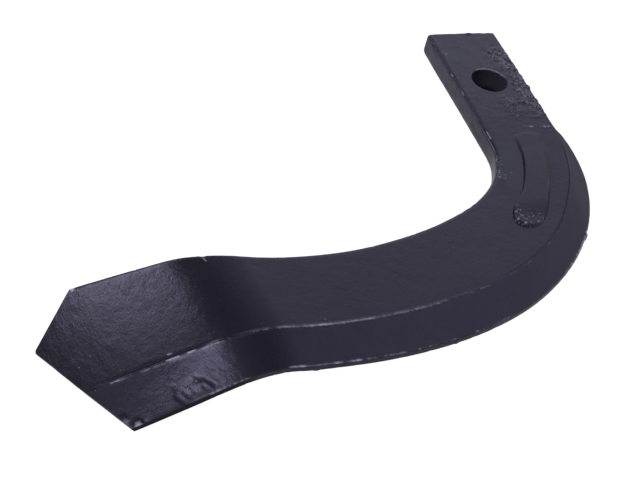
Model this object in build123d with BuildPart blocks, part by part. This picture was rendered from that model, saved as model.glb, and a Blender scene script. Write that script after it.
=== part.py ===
from build123d import *
import math
import os

# Forged blade of a rotary tiller, one solid piece of steel.
# Millimetres. Origin at the centre of the bolt hole, half way through the shank.
# +Z is the hole's axis, towards the upper face, the one that carries the rib and the bevel.
# +Y runs from the hole to the shank's free end, +X towards the convex, cutting side.

# ---- shank ----
SHANK_WIDTH = 26.8        # across, along X
SHANK_THICK = 8.0         # through, along Z
SHANK_TOP_END = 27.4      # hole centre to the sheared free end
SHANK_FOOT = 22.0         # hole centre to the place where the forged blade begins
HOLE_D = 12.5             # clearance hole for an M12 bolt
HOLE_RIM = 0.35           # broken edge of the hole, both sides
EDGE_LOW_R = 2.3          # rolled lower long edges
EDGE_TOP_R = 0.8          # upper long edges
END_ROLL_R = 2.6          # roll-over along the sheared end's lower edge
END_CORNERS = [(-1, 1.7), (1, 0.7)]  # upright corners of the sheared end: side, radius

# ---- blade ----
TOP = SHANK_THICK / 2     # upper face of the shank
BOTTOM = -SHANK_THICK / 2  # flat lower face of the shank and the blade
STEP = 1.2                # the blade's upper face lies this far below the shank's
FACE = TOP - STEP         # upper face of the blade
LAND = 2.0                # height of the blunt edge that the bevel runs down to

# ---- bend of the scoop, downwards, about a line across the blade ----
BEND_X, BEND_Y = -108.0, -90.0   # a point on the line where the bend begins
BEND_SKEW = 10.0                 # that line's angle to the shank's axis
BEND_ANGLE = 40.0
BEND_R = 26.0                    # radius of the upper face through the bend
BEND_LEN = BEND_R * math.radians(BEND_ANGLE)

# ---- outline of the scoop's tip, in the unbent blank ----
TIP_BACK = (-163.4, -58.2)
TIP_POINT = (-179.7, -72.2)
TIP_FRONT = (-158.5, -110.3)
TIP_R = 1.0               # blunting of the point

# ---- rib, a raised pad that stiffens the root of the curve ----
RIB_RISE = 1.4            # above the blade's upper face
RIB_SINK = 0.6            # depth of its foot inside the blade
RIB_EDGE_R = 0.45         # rounding of its upper edge
RIB_TOP = [(-3.4, -34.6), (-6.3, -44.7), (-9.7, -52.0), (-14.1, -58.6), (-17.9, -63.0), (-19.6, -67.5), (-19.2, -70.4),
           (-16.4, -71.9), (-13.4, -71.2), (-9.9, -68.3), (-4.9, -60.7), (-0.2, -52.1), (3.7, -42.3), (5.5, -36.5), (4.9, -33.2), (-1.4, -32.6)]
RIB_FOOT = [(-4.0, -32.0), (-7.0, -44.7), (-10.4, -52.4), (-14.9, -59.0), (-18.9, -63.0), (-21.0, -67.8), (-20.8, -71.2),
            (-16.8, -73.5), (-12.8, -72.8), (-8.9, -69.0), (-3.9, -61.2), (0.9, -52.3), (4.8, -42.3), (6.9, -36.0), (6.2, -29.2), (-2.4, -28.6)]

# ---- stations of the blade in the unbent blank ----
# x, y of the inner edge; heading of the section line, degrees from +X;
# distance along it to the ridge where the bevel starts, and to the outer edge;
# height of the upper face, of the top of the blunt edge, and of the lower face;
# radii of the lower inner edge, the upper inner edge and the lower outer edge.
H = SHANK_WIDTH / 2
W = SHANK_WIDTH
STATIONS = [
    (-H, -SHANK_FOOT, 0.0, W - 0.4, W, TOP, TOP - 0.4, BOTTOM, EDGE_LOW_R, EDGE_TOP_R, EDGE_LOW_R),
    (-13.40, -24.20, 0.0, 26.40, 26.90, TOP - 0.05, TOP - 0.5, BOTTOM, 2.3, 0.85, 2.1),
    (-13.35, -27.00, 0.0, 26.30, 27.30, TOP - 0.60, TOP - 1.2, BOTTOM, 2.2, 1.0, 1.7),
    (-13.30, -30.00, 0.0, 26.20, 28.20, FACE, FACE - 0.8, BOTTOM, 2.0, 1.2, 1.3),
    (-13.57, -36.02, -4.5, 25.37, 29.85, FACE, FACE - 2.0, BOTTOM, 1.8, 1.5, 0.9),
    (-15.33, -42.08, -9.5, 25.23, 31.85, FACE, FACE - 3.4, BOTTOM, 1.7, 1.7, 0.6),
    (-18.14, -47.36, -15.0, 25.25, 33.35, FACE, BOTTOM + 2.2, BOTTOM, 1.6, 1.7, 0.45),
    (-21.96, -52.16, -22.0, 25.55, 34.40, FACE, BOTTOM + LAND, BOTTOM, 1.5, 1.6, 0.35),
    (-29.19, -58.47, -31.5, 26.99, 36.01, FACE, BOTTOM + LAND, BOTTOM, 1.4, 1.4, 0.3),
    (-38.12, -63.83, -41.5, 28.25, 37.36, FACE, BOTTOM + LAND, BOTTOM, 1.3, 1.2, 0.3),
    (-49.36, -68.80, -52.5, 28.50, 38.51, FACE, BOTTOM + LAND, BOTTOM, 1.2, 1.0, 0.3),
    (-62.68, -72.92, -63.5, 28.15, 38.76, FACE, BOTTOM + LAND, BOTTOM, 1.2, 0.9, 0.3),
    (-76.81, -75.77, -72.0, 27.70, 38.42, FACE, BOTTOM + LAND, BOTTOM, 1.2, 0.8, 0.3),
    (-90.90, -76.59, -78.0, 27.97, 38.58, FACE, BOTTOM + LAND, BOTTOM, 1.2, 0.8, 0.3),
    (-104.42, -75.76, -80.0, 28.87, 39.55, FACE, BOTTOM + LAND, BOTTOM, 1.2, 0.8, 0.3),
    (-110.70, -74.65, -80.0, 29.64, 40.65, FACE, BOTTOM + LAND + 0.1, BOTTOM + 0.1, 1.2, 0.8, 0.3),
    (-115.53, -73.39, -80.0, 30.47, 41.67, FACE, BOTTOM + LAND + 0.2, BOTTOM + 0.15, 1.2, 0.8, 0.3),
    (-120.42, -71.69, -80.0, 31.53, 43.21, FACE, BOTTOM + LAND + 0.35, BOTTOM + 0.2, 1.2, 0.8, 0.3),
    (-125.39, -69.74, -80.0, 32.67, 44.85, FACE, BOTTOM + LAND + 0.5, BOTTOM + 0.3, 1.1, 0.8, 0.3),
    (-130.29, -67.95, -80.0, 33.57, 46.25, FACE, BOTTOM + LAND + 0.7, BOTTOM + 0.4, 1.0, 0.7, 0.3),
    (-136.76, -65.94, -80.0, 34.38, 47.65, FACE, BOTTOM + LAND + 0.9, BOTTOM + 0.6, 1.0, 0.7, 0.3),
    (-144.96, -63.51, -84.0, 34.55, 48.50, FACE, BOTTOM + LAND + 1.2, BOTTOM + 0.9, 0.9, 0.6, 0.3),
    (-164.98, -57.82, -87.0, 36.51, 51.60, FACE, BOTTOM + LAND + 1.8, BOTTOM + 1.6, 0.8, 0.5, 0.3),
    (-186.00, -51.81, -90.0, 38.88, 54.85, FACE, BOTTOM + LAND + 2.4, BOTTOM + 2.3, 0.7, 0.5, 0.3),
]

# Distance from a square corner to the middle of its rounding, along each side, for a radius of 1.
ROUND = 1 - math.sqrt(0.5)

# Runs of stations that are shaped together: root, curve, bend, scoop.
SPANS = [(0, 3), (3, 15), (15, 19), (19, 23)]

# The bend's axes: along the bend line, and away from the shank.
ALONG = Vector(-math.sin(math.radians(BEND_SKEW)), math.cos(math.radians(BEND_SKEW)), 0)
AWAY = Vector(-math.cos(math.radians(BEND_SKEW)), -math.sin(math.radians(BEND_SKEW)), 0)
UP = Vector(0, 0, 1)
START = Vector(BEND_X, BEND_Y, FACE)


def fold(x, y, heading):
    """Plane of a section line in the bent blade.

    x, y and heading are the line's start and direction in the unbent blank. The plane's
    own x runs along the line, its own y along the upper face's normal, and its origin
    lies on the upper face.
    """
    p = Vector(x, y, FACE)
    s = (p - START).dot(AWAY)
    w = (p - START).dot(ALONG)
    turn = math.radians(BEND_ANGLE) * min(max(s / BEND_LEN, 0.0), 1.0)
    forward = AWAY * math.cos(turn) - UP * math.sin(turn)
    normal = AWAY * math.sin(turn) + UP * math.cos(turn)
    if s <= 0:
        origin = p
    else:
        origin = START + ALONG * w + AWAY * (BEND_R * math.sin(turn)) - UP * (BEND_R * (1 - math.cos(turn)))
        origin += forward * max(s - BEND_LEN, 0.0)
    flat = Vector(math.cos(math.radians(heading)), math.sin(math.radians(heading)), 0)
    line = ALONG * flat.dot(ALONG) + forward * flat.dot(AWAY)
    return Plane(origin=origin, x_dir=line, z_dir=line.cross(normal))


def arc_corner(a, c, b, r):
    """Start, middle and end of the fillet of radius r at corner c, between a and b."""
    c = Vector(*c)
    u = (Vector(*a) - c).normalized()
    v = (Vector(*b) - c).normalized()
    half = math.acos(max(-1.0, min(1.0, u.dot(v)))) / 2
    t = r / math.tan(half)
    mid = (u + v).normalized() * (r / math.sin(half) - r)
    return [tuple(p)[:2] for p in (c + u * t, c + mid, c + v * t)]


def section_points(station):
    """Corners of a station's section: heights are measured from the blade's upper face."""
    _, _, _, ridge, outer, top, land, low, r_low, r_top, r_out = station
    top, land, low = top - FACE, land - FACE, low - FACE
    inner_low = arc_corner((outer, low), (0, low), (0, top), r_low)
    inner_top = arc_corner((0, low), (0, top), (ridge, top), r_top)
    outer_low = arc_corner((outer, land), (outer, low), (0, low), r_out)
    return inner_low, inner_top, (ridge, top), (outer, land), outer_low


with BuildPart() as tiller_blade:
    # Forged blade: the step down from the shank, the curve, the bend and the scoop.
    for first, last in SPANS:
        for station in STATIONS[first:last + 1]:
            inner_low, inner_top, ridge, land, outer_low = section_points(station)
            with BuildSketch(fold(*station[:3])):
                with BuildLine():
                    ThreePointArc(*inner_low)
                    Line(inner_low[2], inner_top[0])
                    ThreePointArc(*inner_top)
                    Line(inner_top[2], ridge)
                    Line(ridge, land)
                    Line(land, outer_low[0])
                    ThreePointArc(*outer_low)
                    Line(outer_low[2], inner_low[0])
                make_face()
        loft()

    # Shank: a flat bar with rolled edges, from the blade's root to the sheared end.
    inner_low, inner_top, ridge, land, outer_low = section_points(STATIONS[0])
    with BuildSketch(fold(*STATIONS[0][:3])):
        with BuildLine():
            ThreePointArc(*inner_low)
            Line(inner_low[2], inner_top[0])
            ThreePointArc(*inner_top)
            Line(inner_top[2], ridge)
            Line(ridge, land)
            Line(land, outer_low[0])
            ThreePointArc(*outer_low)
            Line(outer_low[2], inner_low[0])
        make_face()
    extrude(amount=-(SHANK_FOOT + SHANK_TOP_END))

    # The sheared end: lower edge rolled over, upright corners broken.
    end_y, roll = SHANK_TOP_END, END_ROLL_R
    with BuildSketch(Plane.YZ):
        with BuildLine():
            Polyline((end_y - roll, BOTTOM), (end_y - roll, BOTTOM - 1), (end_y + 1, BOTTOM - 1),
                     (end_y + 1, BOTTOM + roll), (end_y, BOTTOM + roll))
            ThreePointArc((end_y, BOTTOM + roll), (end_y - roll * ROUND, BOTTOM + roll * ROUND), (end_y - roll, BOTTOM))
        make_face()
    extrude(amount=W, both=True, mode=Mode.SUBTRACT)
    for side, r in END_CORNERS:
        with BuildSketch(Plane.XY):
            with BuildLine():
                Polyline((side * (H - r), end_y), (side * (H - r), end_y + 1), (side * (H + 1), end_y + 1),
                         (side * (H + 1), end_y - r), (side * H, end_y - r))
                ThreePointArc((side * H, end_y - r), (side * (H - r * ROUND), end_y - r * ROUND), (side * (H - r), end_y))
            make_face()
        extrude(amount=SHANK_THICK, both=True, mode=Mode.SUBTRACT)

    # The tip: two straight trimmed edges, square to the scoop's face.
    for first, second in ((TIP_BACK, TIP_POINT), (TIP_POINT, TIP_FRONT)):
        a = fold(first[0], first[1], 0).origin
        b = fold(second[0], second[1], 0).origin
        edge = (b - a).normalized()
        split(bisect_by=Plane(origin=a, x_dir=edge, z_dir=edge.cross(fold(*TIP_POINT, 0).y_dir)), keep=Keep.BOTTOM)

    # The corner where the two trimmed edges meet is slightly blunted.
    point = fold(*TIP_POINT, 0).origin
    fillet(tiller_blade.edges().sort_by(lambda e: (e.center() - point).length)[:1], radius=TIP_R)

    # Rib: a raised banana-shaped pad with sloping sides and a softer slope at its upper end.
    for outline, height in ((RIB_FOOT, FACE - RIB_SINK), (RIB_TOP, FACE + RIB_RISE)):
        with BuildSketch(Plane.XY.offset(height)):
            with BuildLine():
                Spline(*outline, periodic=True)
            make_face()
    loft(ruled=True)
    rib_top = tiller_blade.faces().filter_by(Plane.XY).filter_by(lambda f: abs(f.center().Z - FACE - RIB_RISE) < 0.01)
    fillet(rib_top.edges(), radius=RIB_EDGE_R)

    # Bolt hole, through the shank.
    with Locations((0, 0, TOP)):
        Hole(radius=HOLE_D / 2)
    rim = tiller_blade.edges().filter_by(GeomType.CIRCLE).filter_by(lambda e: abs(e.radius - HOLE_D / 2) < 1e-6)
    chamfer(rim, length=HOLE_RIM)

tiller_blade.part.label = "tiller_blade"

os.makedirs("parts", exist_ok=True)
export_step(tiller_blade.part, "parts/tiller_blade.step")
print("volume", round(tiller_blade.part.volume), "mm3,", tiller_blade.part.bounding_box())
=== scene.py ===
import math

import bpy
import numpy as np
from mathutils import Matrix, Vector


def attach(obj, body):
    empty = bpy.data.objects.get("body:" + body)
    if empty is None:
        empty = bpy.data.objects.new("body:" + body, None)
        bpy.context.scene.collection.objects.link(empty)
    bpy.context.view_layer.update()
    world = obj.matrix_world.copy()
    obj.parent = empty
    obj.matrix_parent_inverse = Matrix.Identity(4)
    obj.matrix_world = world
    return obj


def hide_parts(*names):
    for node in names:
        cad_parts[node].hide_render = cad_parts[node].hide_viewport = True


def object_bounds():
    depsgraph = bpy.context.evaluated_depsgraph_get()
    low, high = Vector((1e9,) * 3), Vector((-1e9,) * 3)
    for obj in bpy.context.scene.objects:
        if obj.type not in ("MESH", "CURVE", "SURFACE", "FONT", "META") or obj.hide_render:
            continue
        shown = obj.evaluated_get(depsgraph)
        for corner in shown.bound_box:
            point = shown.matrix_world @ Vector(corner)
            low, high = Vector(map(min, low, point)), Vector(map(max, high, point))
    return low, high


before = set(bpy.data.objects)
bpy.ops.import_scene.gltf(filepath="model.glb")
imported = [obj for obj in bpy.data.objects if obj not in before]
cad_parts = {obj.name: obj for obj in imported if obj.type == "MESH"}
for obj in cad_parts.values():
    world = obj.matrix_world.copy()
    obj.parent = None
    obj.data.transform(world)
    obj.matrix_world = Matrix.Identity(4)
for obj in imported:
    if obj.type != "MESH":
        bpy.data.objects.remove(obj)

cad_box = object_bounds()
MM = 0.001

# ---------------------------------------------------------------------------------------------------------------
# The blade's shape, in millimetres, in the unbent blank: the same stations as the solid.
# ---------------------------------------------------------------------------------------------------------------
TOP, BOTTOM, FACE, LAND = 4.0, -4.0, 2.8, 2.0
WIDTH, END, FOOT = 26.8, 27.4, 22.0
HALF = WIDTH / 2
HOLE_R, HOLE_RIM = 6.25, 0.35
BEND_X, BEND_Y, BEND_SKEW, BEND_ANGLE, BEND_R = -108.0, -90.0, math.radians(10), math.radians(40), 26.0
BEND_LEN = BEND_R * BEND_ANGLE
TIP_BACK, TIP_POINT, TIP_FRONT = (-163.4, -58.2), (-179.7, -72.2), (-158.5, -110.3)
END_ROLL, END_LEFT, END_RIGHT = 2.6, 1.7, 0.7

# x, y of the inner edge; heading of the section line; distance to the ridge and to the outer edge;
# height of the upper face, of the blunt edge and of the lower face; radii of the lower inner edge,
# the upper inner edge and the lower outer edge.
STATIONS = np.array([
    (-13.40, -22.00, 0.0, 26.40, 26.80, 4.00, 3.6, -4.0, 2.3, 0.8, 2.3),
    (-13.40, -24.20, 0.0, 26.40, 26.90, 3.95, 3.5, -4.0, 2.3, 0.85, 2.1),
    (-13.35, -27.00, 0.0, 26.30, 27.30, 3.40, 2.8, -4.0, 2.2, 1.0, 1.7),
    (-13.30, -30.00, 0.0, 26.20, 28.20, 2.8, 2.0, -4.0, 2.0, 1.2, 1.3),
    (-13.57, -36.02, -4.5, 25.37, 29.85, 2.8, 0.8, -4.0, 1.8, 1.5, 0.9),
    (-15.33, -42.08, -9.5, 25.23, 31.85, 2.8, -0.6, -4.0, 1.7, 1.7, 0.6),
    (-18.14, -47.36, -15.0, 25.25, 33.35, 2.8, -1.8, -4.0, 1.6, 1.7, 0.45),
    (-21.96, -52.16, -22.0, 25.55, 34.40, 2.8, -2.0, -4.0, 1.5, 1.6, 0.35),
    (-29.19, -58.47, -31.5, 26.99, 36.01, 2.8, -2.0, -4.0, 1.4, 1.4, 0.3),
    (-38.12, -63.83, -41.5, 28.25, 37.36, 2.8, -2.0, -4.0, 1.3, 1.2, 0.3),
    (-49.36, -68.80, -52.5, 28.50, 38.51, 2.8, -2.0, -4.0, 1.2, 1.0, 0.3),
    (-62.68, -72.92, -63.5, 28.15, 38.76, 2.8, -2.0, -4.0, 1.2, 0.9, 0.3),
    (-76.81, -75.77, -72.0, 27.70, 38.42, 2.8, -2.0, -4.0, 1.2, 0.8, 0.3),
    (-90.90, -76.59, -78.0, 27.97, 38.58, 2.8, -2.0, -4.0, 1.2, 0.8, 0.3),
    (-104.42, -75.76, -80.0, 28.87, 39.55, 2.8, -2.0, -4.0, 1.2, 0.8, 0.3),
    (-110.70, -74.65, -80.0, 29.64, 40.65, 2.8, -1.9, -3.9, 1.2, 0.8, 0.3),
    (-115.53, -73.39, -80.0, 30.47, 41.67, 2.8, -1.8, -3.85, 1.2, 0.8, 0.3),
    (-120.42, -71.69, -80.0, 31.53, 43.21, 2.8, -1.65, -3.8, 1.2, 0.8, 0.3),
    (-125.39, -69.74, -80.0, 32.67, 44.85, 2.8, -1.5, -3.7, 1.1, 0.8, 0.3),
    (-130.29, -67.95, -80.0, 33.57, 46.25, 2.8, -1.3, -3.6, 1.0, 0.7, 0.3),
    (-136.76, -65.94, -80.0, 34.38, 47.65, 2.8, -1.1, -3.4, 1.0, 0.7, 0.3),
    (-144.96, -63.51, -84.0, 34.55, 48.50, 2.8, -0.8, -3.1, 0.9, 0.6, 0.3),
    (-164.98, -57.82, -87.0, 36.51, 51.60, 2.8, -0.2, -2.4, 0.8, 0.5, 0.3),
    (-186.00, -51.81, -90.0, 38.88, 54.85, 2.8, 0.4, -1.7, 0.7, 0.5, 0.3),
])
RIB_TOP = [(-3.5, -34.8), (-6.3, -44.7), (-9.7, -52.0), (-14.1, -58.6), (-17.9, -63.0), (-19.8, -67.5), (-19.3, -70.3),
           (-16.4, -71.8), (-13.2, -71.3), (-10.0, -68.4), (-5.3, -60.6), (-1.5, -51.7), (2.2, -42.2), (4.1, -36.3), (5.0, -32.2), (3.9, -30.1), (0.6, -29.2), (-2.3, -30.2)]
RIB_FOOT = [(-5.0, -34.4), (-7.1, -44.7), (-10.4, -52.4), (-14.8, -59.0), (-18.7, -63.0), (-20.8, -67.7), (-20.4, -71.0),
            (-16.7, -73.0), (-12.8, -72.4), (-9.1, -69.0), (-4.0, -61.2), (0.8, -52.3), (4.9, -42.3), (6.9, -36.0), (7.6, -31.6), (5.6, -28.4), (0.6, -27.4), (-4.2, -29.3)]
RIB_RISE = 1.4


def smooth_curve(t, v, start=None):
    """Cubic spline with continuous curvature; start is its slope at the first point."""
    n, h = len(t), np.diff(t)
    a, b = np.zeros((n, n)), np.zeros(n)
    for i in range(1, n - 1):
        a[i, i - 1], a[i, i], a[i, i + 1] = h[i - 1], 2 * (h[i - 1] + h[i]), h[i]
        b[i] = 6 * ((v[i + 1] - v[i]) / h[i] - (v[i] - v[i - 1]) / h[i - 1])
    a[-1, -1] = 1
    if start is None:
        a[0, 0] = 1
    else:
        a[0, 0], a[0, 1] = 2 * h[0], h[0]
        b[0] = 6 * ((v[1] - v[0]) / h[0] - start)
    m = np.linalg.solve(a, b)

    def at(x):
        i = np.clip(np.searchsorted(t, x, side="right") - 1, 0, n - 2)
        q, p = (t[i + 1] - x) / h[i], (x - t[i]) / h[i]
        return q * v[i] + p * v[i + 1] + ((q ** 3 - q) * m[i] + (p ** 3 - p) * m[i + 1]) * h[i] ** 2 / 6
    return at


def even_curve(t, v):
    """Cubic curve that never overshoots its points, level at its start."""
    h, d = np.diff(t), np.diff(v) / np.diff(t)
    m = np.zeros(len(t))
    same = d[:-1] * d[1:] > 0
    w1, w2 = 2 * h[1:] + h[:-1], h[1:] + 2 * h[:-1]
    m[1:-1] = np.where(same, (w1 + w2) / (w1 / np.where(same, d[:-1], 1) + w2 / np.where(same, d[1:], 1)), 0)
    m[-1] = d[-1]

    def at(x):
        i = np.clip(np.searchsorted(t, x, side="right") - 1, 0, len(t) - 2)
        s = (x - t[i]) / h[i]
        return ((1 + 2 * s) * (1 - s) ** 2 * v[i] + s * (1 - s) ** 2 * h[i] * m[i]
                + s * s * (3 - 2 * s) * v[i + 1] + s * s * (s - 1) * h[i] * m[i + 1])
    return at


head = np.radians(STATIONS[:, 2])
line_dir = np.stack([np.cos(head), np.sin(head)], 1)
inner_pts = STATIONS[:, :2]
ridge_pts = inner_pts + line_dir * STATIONS[:, 3:4]
outer_pts = inner_pts + line_dir * STATIONS[:, 4:5]
middle = (inner_pts + outer_pts) / 2
STATION_T = np.concatenate([[0], np.cumsum(np.linalg.norm(np.diff(middle, axis=0), axis=1))])
curves = {}
for name, pts in (("inner", inner_pts), ("ridge", ridge_pts), ("outer", outer_pts)):
    curves[name] = (smooth_curve(STATION_T, pts[:, 0], 0.0), smooth_curve(STATION_T, pts[:, 1], -1.0))
for k, name in enumerate(("top", "land", "low", "r_low", "r_top", "r_out")):
    curves[name] = even_curve(STATION_T, STATIONS[:, 5 + k])


def edge_line(name, t):
    """Points of the inner edge, ridge or outer edge at t; t below 0 is the shank, where t runs along -Y."""
    fx, fy = curves[name]
    c = np.clip(t, 0, None)
    return np.stack([fx(c), fy(c) - np.clip(t, None, 0)], -1)


class Section:
    """The blade's section at each t of an array, heights measured from the shank's middle."""

    def __init__(self, t):
        self.t = t
        c = np.clip(t, 0, None)
        self.i, self.r, self.o = (edge_line(n, t) for n in ("inner", "ridge", "outer"))
        self.to_ridge = np.linalg.norm(self.r - self.i, axis=-1)
        self.bevel = np.linalg.norm(self.o - self.r, axis=-1)
        self.outer = self.to_ridge + self.bevel
        for n in ("top", "land", "low", "r_low", "r_top", "r_out"):
            setattr(self, n, curves[n](c))
        # the step from the shank's face to the blade's is drawn out, as the forge leaves it
        k = np.clip((t + 15) / 62, 0, 1)
        soft = TOP - (TOP - FACE) * k * k * (3 - 2 * k)
        self.land = self.land + soft - self.top
        self.top = soft

    def xy(self, u):
        """Point of the blank at distance u from the inner edge."""
        e1 = (self.r - self.i) / self.to_ridge[..., None]
        e2 = (self.o - self.r) / self.bevel[..., None]
        a = np.minimum(u, self.to_ridge)[..., None]
        b = np.maximum(u - self.to_ridge, 0)[..., None]
        return self.i + e1 * a + e2 * b

    def upper(self, u):
        """Height of the upper face and the bevel, with the ridge slightly rounded."""
        m = (self.top - self.land) / self.bevel
        k = np.minimum(0.28, 0.15 * self.bevel)
        x = u - self.to_ridge
        return self.top - m * (np.sqrt(x * x + k * k) + x) / 2


# Columns of the grid on the upper side, the outer edge, the lower side and the inner edge.
ARC_A, ARC_B, NEAR = 4, 2, (0.95, 0.6, 0.35, 0.15)
FACE_COLS, BEVEL_COLS = 59, 16
EDGE_R = 0.32
N_U = ARC_A + FACE_COLS + len(NEAR) + 1 + len(NEAR) + BEVEL_COLS + ARC_B
N_V = 10


def part(which, t, point_share=None):
    """u, z and section of one side of the section loop, for an array t of rows by columns."""
    s = Section(t)
    u, z = np.zeros_like(t), np.zeros_like(t)
    # the edge between bevel and blunt side
    m = (s.top - s.land) / s.bevel
    slope = np.arctan(m)
    half = (np.pi / 2 + slope) / 2
    tangent = EDGE_R / np.tan(half)
    # centre of the rounding lies inside, below the bevel and left of the side
    cu = s.outer - EDGE_R
    cz = s.land - tangent
    a_bevel, a_side = np.pi / 2 - slope, 0.0
    if which == "upper":
        a = np.linspace(np.radians(135), np.radians(90), ARC_A + 1)
        j = ARC_A + 1
        u[:, :j] = s.r_top[:, :j] * (1 + np.cos(a))
        z[:, :j] = s.top[:, :j] + s.r_top[:, :j] * (np.sin(a) - 1)
        k = j + FACE_COLS
        f = np.arange(1, FACE_COLS + 1) / FACE_COLS
        if point_share is not None:
            f[np.argmin(np.abs(f - point_share))] = point_share
        lo, hi = s.r_top[:, j:k], s.to_ridge[:, j:k] - NEAR[0] * 1.15
        u[:, j:k] = lo + (hi - lo) * f
        z[:, j:k] = s.upper(u)[:, j:k]
        n = len(NEAR)
        u[:, k:k + n] = s.to_ridge[:, k:k + n] - np.array(NEAR)
        u[:, k + n] = s.to_ridge[:, k + n]
        k2 = k + n + 1
        scale = np.minimum(1, s.bevel / 3)
        u[:, k2:k2 + n] = s.to_ridge[:, k2:k2 + n] + np.array(NEAR[::-1]) * scale[:, k2:k2 + n]
        k3 = k2 + n
        lo = (s.to_ridge + NEAR[0] * scale)[:, k3:k3 + BEVEL_COLS]
        hi = (s.outer - np.minimum(tangent * np.cos(slope), 0.45 * s.bevel))[:, k3:k3 + BEVEL_COLS]
        g = np.arange(1, BEVEL_COLS + 1) / BEVEL_COLS
        g = 0.8 * g + 0.2 * (1 - (1 - g) ** 2)
        u[:, k3:k3 + BEVEL_COLS] = lo + (hi - lo) * g
        z[:, k:] = s.upper(u)[:, k:]
        k4 = k3 + BEVEL_COLS
        b = a_bevel[:, k4:] + (a_side - a_bevel[:, k4:]) * 0.5 * np.arange(1, ARC_B + 1) / ARC_B
        u[:, k4:] = cu[:, k4:] + EDGE_R * np.cos(b)
        z[:, k4:] = cz[:, k4:] + EDGE_R * np.sin(b)
    elif which == "outer":
        b = a_bevel[:, :3] * 0.5 * (1 - np.arange(3) / 2)
        u[:, :3] = cu[:, :3] + EDGE_R * np.cos(b)
        z[:, :3] = cz[:, :3] + EDGE_R * np.sin(b)
        n = N_V - 5
        f = np.arange(1, n + 1) / n
        u[:, 3:3 + n] = s.outer[:, 3:3 + n]
        z[:, 3:3 + n] = cz[:, 3:3 + n] + (s.low + s.r_out - cz)[:, 3:3 + n] * f
        a = -np.radians(45) * np.arange(1, 4) / 3
        u[:, -3:] = (s.outer - s.r_out)[:, -3:] + s.r_out[:, -3:] * np.cos(a)
        z[:, -3:] = (s.low + s.r_out)[:, -3:] + s.r_out[:, -3:] * np.sin(a)
    elif which == "lower":
        a = np.radians(225) + np.radians(45) * np.arange(4) / 3
        u[:, :4] = s.r_low[:, :4] * (1 + np.cos(a))
        z[:, :4] = s.low[:, :4] + s.r_low[:, :4] * (1 + np.sin(a))
        n = N_U - 6
        f = np.arange(1, n + 1) / n
        lo, hi = s.r_low[:, 4:4 + n], (s.outer - s.r_out)[:, 4:4 + n]
        u[:, 4:4 + n] = lo + (hi - lo) * f
        z[:, 4:4 + n] = s.low[:, 4:4 + n]
        a = -np.radians(90) + np.radians(45) * np.arange(1, 4) / 3
        u[:, -3:] = (s.outer - s.r_out)[:, -3:] + s.r_out[:, -3:] * np.cos(a)
        z[:, -3:] = (s.low + s.r_out)[:, -3:] + s.r_out[:, -3:] * np.sin(a)
    else:
        a = np.radians(135) + np.radians(45) * np.arange(4) / 3
        u[:, :4] = s.r_top[:, :4] * (1 + np.cos(a))
        z[:, :4] = s.top[:, :4] + s.r_top[:, :4] * (np.sin(a) - 1)
        n = N_V - 6
        f = np.arange(1, n + 1) / n
        lo, hi = (s.top - s.r_top)[:, 4:4 + n], (s.low + s.r_low)[:, 4:4 + n]
        u[:, 4:4 + n] = 0
        z[:, 4:4 + n] = lo + (hi - lo) * f
        a = np.radians(180) + np.radians(45) * np.arange(1, 4) / 3
        u[:, -3:] = s.r_low[:, -3:] * (1 + np.cos(a))
        z[:, -3:] = s.low[:, -3:] + s.r_low[:, -3:] * (1 + np.sin(a))
    return u, z, s


def half_plane(a, b, p):
    """Distance of p outside the line from a to b, which has the blade on its right."""
    a, b = np.array(a), np.array(b)
    d = (b - a) / np.linalg.norm(b - a)
    return (p[..., 0] - a[0]) * -d[1] + (p[..., 1] - a[1]) * d[0]


def beyond_tip(p, r=1.1):
    """Distance of p outside the tip's two trimmed edges, with the point blunted."""
    d1 = -half_plane(TIP_BACK, TIP_POINT, p)
    d2 = -half_plane(TIP_POINT, TIP_FRONT, p)
    a1, a2 = d1 + r, d2 + r
    return np.sqrt(np.maximum(a1, 0) ** 2 + np.maximum(a2, 0) ** 2) - r + np.minimum(np.maximum(a1, a2), 0)


T_START, T_TRIM, T_LAST = -(FOOT + END), STATION_T[20], STATION_T[23] - 0.01


def tip_end(which, columns, share):
    """The t at which each column reaches the trimmed edges."""
    lo, hi = np.full((1, columns), T_TRIM), np.full((1, columns), T_LAST)
    for _ in range(40):
        mid = (lo + hi) / 2
        u, _, s = part(which, mid, share)
        out = beyond_tip(s.xy(u)) > 0
        lo, hi = np.where(out, lo, mid), np.where(out, mid, hi)
    return lo


# the share of the upper face at which a column runs to the point of the tip
def share_of_point():
    t = np.full((1, 1), (STATION_T[21] + STATION_T[22]) / 2)
    for _ in range(30):
        s = Section(t)
        e = (s.r - s.i)[0, 0] / s.to_ridge[0, 0]
        rel = np.array(TIP_POINT) - s.i[0, 0]
        t = t + rel @ np.array([e[1], -e[0]])
    s = Section(t)
    e = (s.r - s.i)[0, 0] / s.to_ridge[0, 0]
    u = (np.array(TIP_POINT) - s.i[0, 0]) @ e
    lo, hi = s.r_top[0, 0], s.to_ridge[0, 0] - NEAR[0] * 1.15
    return (u - lo) / (hi - lo)


POINT_SHARE = share_of_point()

near_end = [0, 0.05, 0.13, 0.24, 0.45, 0.8, 1.2, 1.65, 2.1, 2.6]
shank_rows = np.concatenate([T_START + np.array(near_end), np.linspace(T_START + 3.1, 0, 84)])
blade_rows = np.linspace(0, T_TRIM, 402)[1:]
tip_share = np.concatenate([np.linspace(0, 1, 66)[1:-1], 1 - np.array([0.4, 0.24, 0.13, 0.05, 0.0]) / 30])
N_ROWS = len(shank_rows) + len(blade_rows) + len(tip_share)
if N_ROWS % 2 == 0:
    blade_rows = np.linspace(0, T_TRIM, 403)[1:]
    N_ROWS += 1


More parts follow.
